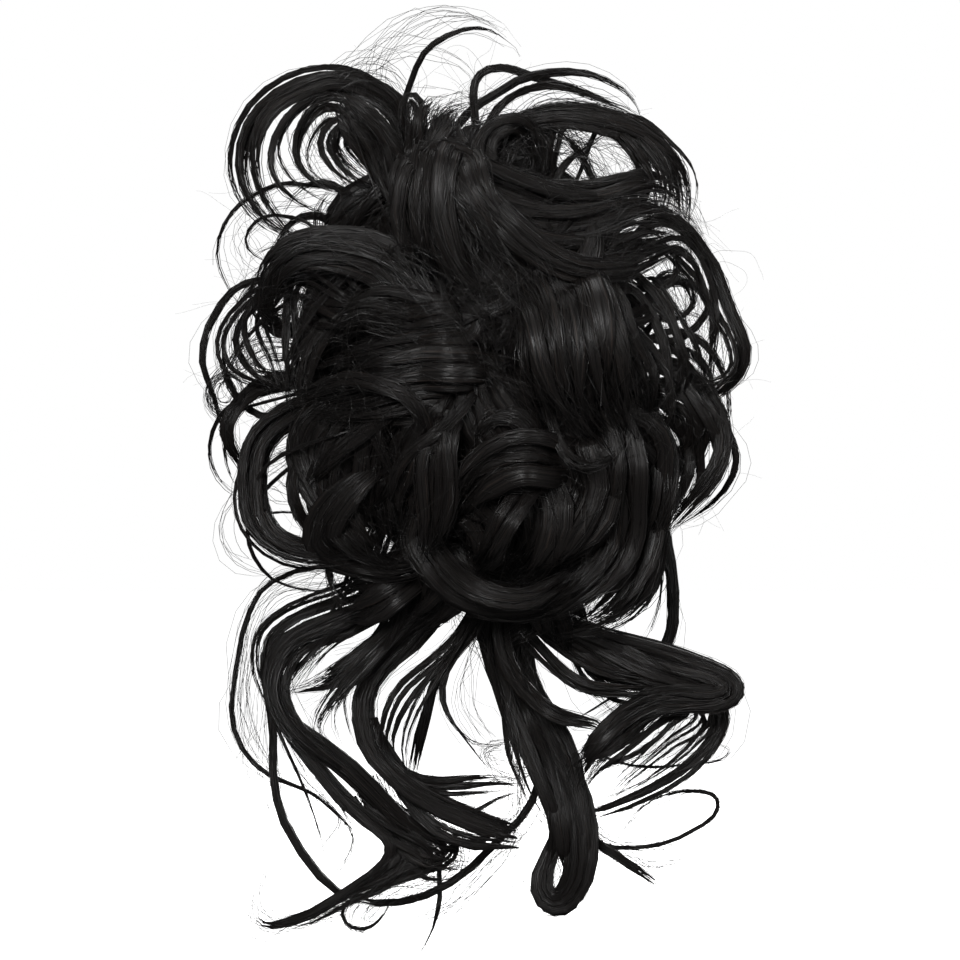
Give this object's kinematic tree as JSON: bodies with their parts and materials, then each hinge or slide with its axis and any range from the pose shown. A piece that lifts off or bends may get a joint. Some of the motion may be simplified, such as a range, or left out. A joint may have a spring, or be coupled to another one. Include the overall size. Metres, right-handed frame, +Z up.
{
  "type": "top knot hairpiece",
  "caption": "Messy curled bun of false hair on an elastic loop, hollow behind for the wearer's own knot, with long curled locks hanging below.",
  "frame": {"origin": "centre of the elastic loop, where the wearer's own knot passes in from +Y", "axes": "+Z up when worn as shown, with the long locks hanging towards -Z; +Y along the elastic loop's axis towards the wearer's head, so the curls face -Y; +X to the right as seen from the front"},
  "size_m": [0.1741, 0.0852, 0.289],
  "materials": {
    "hair": "soft sheen",
    "elastic": "matt braid"
  },
  "bodies": {
    "root": {"elastic_band": "elastic", "bun_core": "hair", "bun_curls": "hair", "tendril_far_left": "hair", "tendril_left_outer": "hair", "tendril_left_main": "hair", "tendril_left_branch": "hair", "tendril_left_wisp": "hair", "tendril_blunt": "hair", "tendril_straight_left": "hair", "tendril_straight_right": "hair", "tendril_thin_loop": "hair", "tendril_centre_main": "hair", "tendril_cross_strap": "hair", "tendril_right_hook": "hair", "tendril_right_outer": "hair", "tendril_right_inner": "hair", "tendril_right_fall": "hair"}
  },
  "joints": []
}
